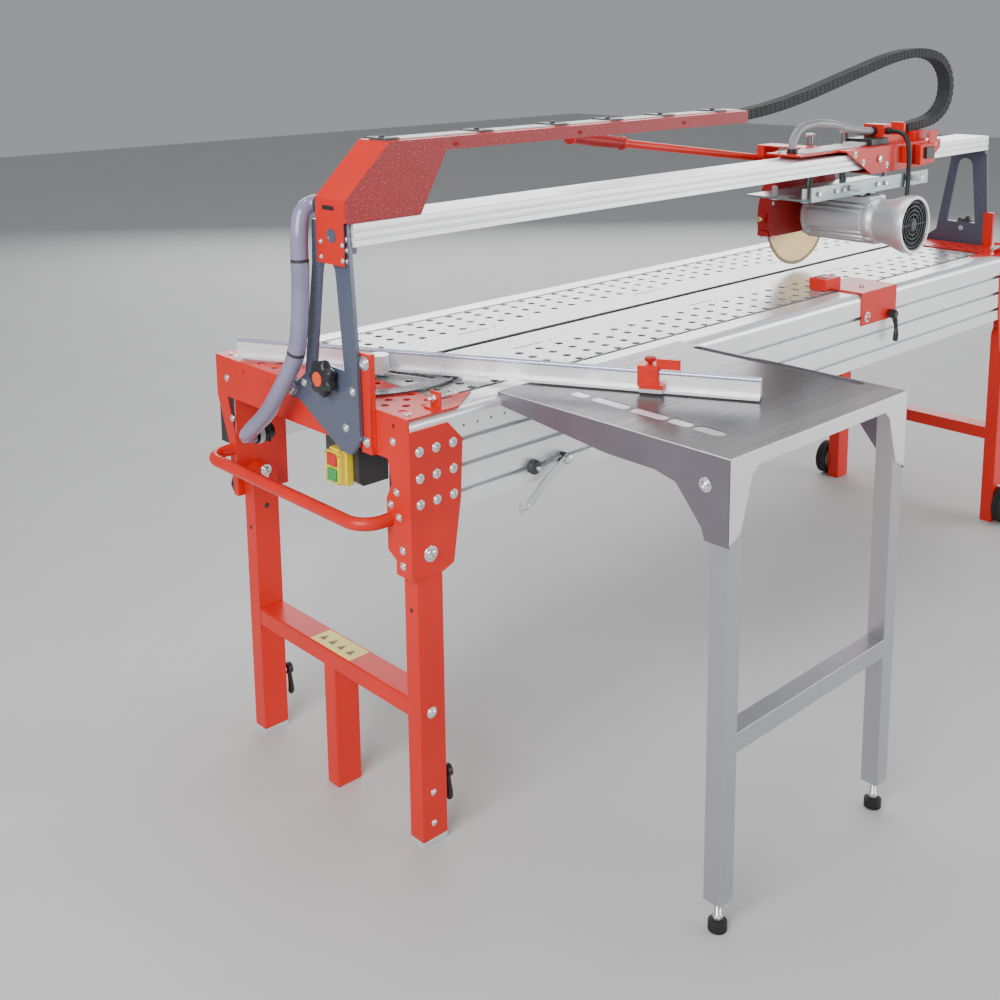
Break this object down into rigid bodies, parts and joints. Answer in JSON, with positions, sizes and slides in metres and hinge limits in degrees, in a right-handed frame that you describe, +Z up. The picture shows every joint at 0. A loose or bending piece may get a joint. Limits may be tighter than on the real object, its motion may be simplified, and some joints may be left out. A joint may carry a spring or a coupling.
{
  "type": "tile cutter",
  "caption": "Wet bridge saw for tiles on folding legs, with a tilting bridge, sliding motor head, squaring bar and side table.",
  "frame": {"origin": "centre of the bounding box, on the floor", "axes": "+X along the cut from the switch end to the motor's parking end, +Y away from the side table, +Z up"},
  "size_m": [2.521, 1.182, 1.459],
  "materials": {
    "rail_aluminium": "satin extruded",
    "panel_steel": "galvanised, perforated",
    "frame_steel": "galvanised",
    "red_paint": "powder coat, gloss",
    "slate_paint": "powder coat, satin",
    "black_plastic": "moulded",
    "box_plastic": "moulded",
    "yellow_plastic": "moulded",
    "green_plastic": "moulded",
    "red_plastic": "moulded",
    "zinc": "zinc plated",
    "conduit_plastic": "ribbed conduit",
    "grey_plastic": "moulded",
    "motor_aluminium": "die cast",
    "blade_brass": "coated steel core",
    "side_steel": "stainless, brushed",
    "rubber": "matt",
    "hose_grey": "flexible"
  },
  "bodies": {
    "root": {"side_rail_near": "rail_aluminium", "side_rail_far": "rail_aluminium", "table_panel_near": "panel_steel", "table_panel_far": "panel_steel", "table_subframe": "frame_steel", "water_tray": "frame_steel", "water_pump": "black_plastic", "front_bracket": "red_paint", "rear_bracket": "red_paint", "corner_gussets": "red_paint", "frame_bolts": "zinc", "lift_handles": "red_paint", "switch_box": "box_plastic", "switch_plate": "yellow_plastic", "cable_glands": "black_plastic", "tilt_bases": "red_paint", "conduit_hose": "conduit_plastic", "protractor": "frame_steel"},
    "start_button": {"start_button": "green_plastic"},
    "stop_button": {"stop_button": "red_plastic"},
    "front_legs": {"front_leg_near": "red_paint", "front_leg_far": "red_paint", "front_leg_crossbar": "red_paint"},
    "front_foot_near": {"front_foot_near": "grey_plastic"},
    "front_foot_far": {"front_foot_far": "grey_plastic"},
    "clamp_near": {"clamp_lever_near": "black_plastic"},
    "clamp_far": {"clamp_lever_far": "black_plastic"},
    "lock_pin": {"leg_lock_pin": "red_plastic"},
    "rear_legs": {"rear_leg_near": "red_paint", "rear_leg_far": "red_paint", "rear_leg_crossbar": "red_paint"},
    "wheel_near": {"rear_wheel_near": "rubber"},
    "wheel_far": {"rear_wheel_far": "rubber"},
    "bridge": {"front_post": "slate_paint", "rear_post": "slate_paint", "bridge_rail": "rail_aluminium", "arm_cover": "red_paint", "drag_chain": "black_plastic"},
    "knob_front": {"tilt_knob_front": "black_plastic"},
    "knob_rear": {"tilt_knob_rear": "black_plastic"},
    "carriage": {"carriage_saddle": "red_paint", "carriage_rollers": "zinc", "carriage_handle": "red_paint", "cable_loop": "hose_grey", "motor_cable": "rubber"},
    "head": {"motor_bracket": "frame_steel", "motor_housing": "motor_aluminium", "fan_cover": "motor_aluminium"},
    "guard": {"blade_guard": "red_paint"},
    "blade": {"saw_blade": "blade_brass", "blade_flange": "zinc"},
    "mitre": {"mitre_bar": "rail_aluminium"},
    "mitre_stop": {"bar_stop": "red_paint"},
    "side_stop": {"side_stop": "red_paint"},
    "side_stop_lever": {"side_stop_lever": "black_plastic"},
    "hook": {"hook_lever": "zinc"},
    "side_table": {"side_table_top": "side_steel", "side_table_legs": "side_steel"},
    "side_foot_front": {"side_foot_front": "rubber"},
    "side_foot_rear": {"side_foot_rear": "rubber"}
  },
  "joints": [
    {"name": "start_press", "type": "slide", "parent": "root", "child": "start_button", "axis": [1, 0, 0], "range_m": [0, 0.004], "stiffness_N_per_m": 600},
    {"name": "stop_press", "type": "slide", "parent": "root", "child": "stop_button", "axis": [1, 0, 0], "range_m": [0, 0.004], "stiffness_N_per_m": 600},
    {"name": "front_legs_fold", "type": "hinge", "parent": "root", "child": "front_legs", "pos_m": [-1.142, 0.265, 0.589], "axis": [0, -1, 0], "range_deg": [0, 90]},
    {"name": "front_foot_near_extend", "type": "slide", "parent": "front_legs", "child": "front_foot_near", "axis": [0, 0, -1], "range_m": [0, 0.08]},
    {"name": "front_foot_far_extend", "type": "slide", "parent": "front_legs", "child": "front_foot_far", "axis": [0, 0, -1], "range_m": [0, 0.08]},
    {"name": "clamp_near_turn", "type": "hinge", "parent": "front_legs", "child": "clamp_near", "pos_m": [-1.112, -0.0415, 0.125], "axis": [1, 0, 0], "range_deg": [-60, 60]},
    {"name": "clamp_far_turn", "type": "hinge", "parent": "front_legs", "child": "clamp_far", "pos_m": [-1.112, 0.504, 0.125], "axis": [1, 0, 0], "range_deg": [-60, 60]},
    {"name": "lock_pin_pull", "type": "slide", "parent": "front_legs", "child": "lock_pin", "axis": [0, 1, 0], "range_m": [0, 0.012], "stiffness_N_per_m": 800},
    {"name": "rear_legs_fold", "type": "hinge", "parent": "root", "child": "rear_legs", "pos_m": [1.142, 0.265, 0.589], "axis": [0, 1, 0], "range_deg": [0, 90]},
    {"name": "wheel_near_roll", "type": "hinge", "parent": "rear_legs", "child": "wheel_near", "pos_m": [1.142, -0.082, 0.057], "axis": [0, 1, 0], "continuous": true},
    {"name": "wheel_far_roll", "type": "hinge", "parent": "rear_legs", "child": "wheel_far", "pos_m": [1.142, 0.544, 0.057], "axis": [0, 1, 0], "continuous": true},
    {"name": "bridge_tilt", "type": "hinge", "parent": "root", "child": "bridge", "pos_m": [-0.055, 0.265, 0.848], "axis": [-1, 0, 0], "range_deg": [0, 45], "deforming": ["conduit_hose"]},
    {"name": "knob_front_turn", "type": "hinge", "parent": "bridge", "child": "knob_front", "pos_m": [-1.208, 0.137, 0.896], "axis": [1, 0, 0], "range_deg": [-180, 180]},
    {"name": "knob_rear_turn", "type": "hinge", "parent": "bridge", "child": "knob_rear", "pos_m": [1.208, 0.137, 0.896], "axis": [-1, 0, 0], "range_deg": [-180, 180]},
    {"name": "carriage_slide", "type": "slide", "parent": "bridge", "child": "carriage", "axis": [1, 0, 0], "range_m": [-1.22, 0.28], "deforming": ["drag_chain"]},
    {"name": "head_plunge", "type": "slide", "parent": "carriage", "child": "head", "axis": [0, 0, 1], "range_m": [-0.04, 0], "deforming": ["motor_cable"]},
    {"name": "guard_turn", "type": "hinge", "parent": "head", "child": "guard", "pos_m": [0.486, 0.265, 1.011], "axis": [0, 1, 0], "range_deg": [0, 30]},
    {"name": "blade_spin", "type": "hinge", "parent": "head", "child": "blade", "pos_m": [0.486, 0.265, 1.011], "axis": [0, 1, 0], "continuous": true},
    {"name": "mitre_swivel", "type": "hinge", "parent": "root", "child": "mitre", "pos_m": [-1.03, 0.265, 0.858], "axis": [0, 0, 1], "range_deg": [-28, 16]},
    {"name": "bar_stop_slide", "type": "slide", "parent": "mitre", "child": "mitre_stop", "axis": [0.4756, -0.8797, 0], "range_m": [-0.46, 0.17]},
    {"name": "side_stop_slide", "type": "slide", "parent": "root", "child": "side_stop", "axis": [1, 0, 0], "range_m": [-0.1, 0.4]},
    {"name": "side_stop_lever_turn", "type": "hinge", "parent": "side_stop", "child": "side_stop_lever", "pos_m": [0.433, -0.078, 0.779], "axis": [0, 1, 0], "range_deg": [-60, 60]},
    {"name": "hook_turn", "type": "hinge", "parent": "root", "child": "hook", "pos_m": [-0.8, -0.075, 0.688], "axis": [0, 1, 0], "range_deg": [-55, 30]},
    {"name": "side_table_slide", "type": "slide", "parent": "root", "child": "side_table", "axis": [1, 0, 0], "range_m": [0, 0.58]},
    {"name": "side_foot_front_adjust", "type": "slide", "parent": "side_table", "child": "side_foot_front", "axis": [0, 0, -1], "range_m": [0, 0.03]},
    {"name": "side_foot_rear_adjust", "type": "slide", "parent": "side_table", "child": "side_foot_rear", "axis": [0, 0, -1], "range_m": [0, 0.03]}
  ]
}
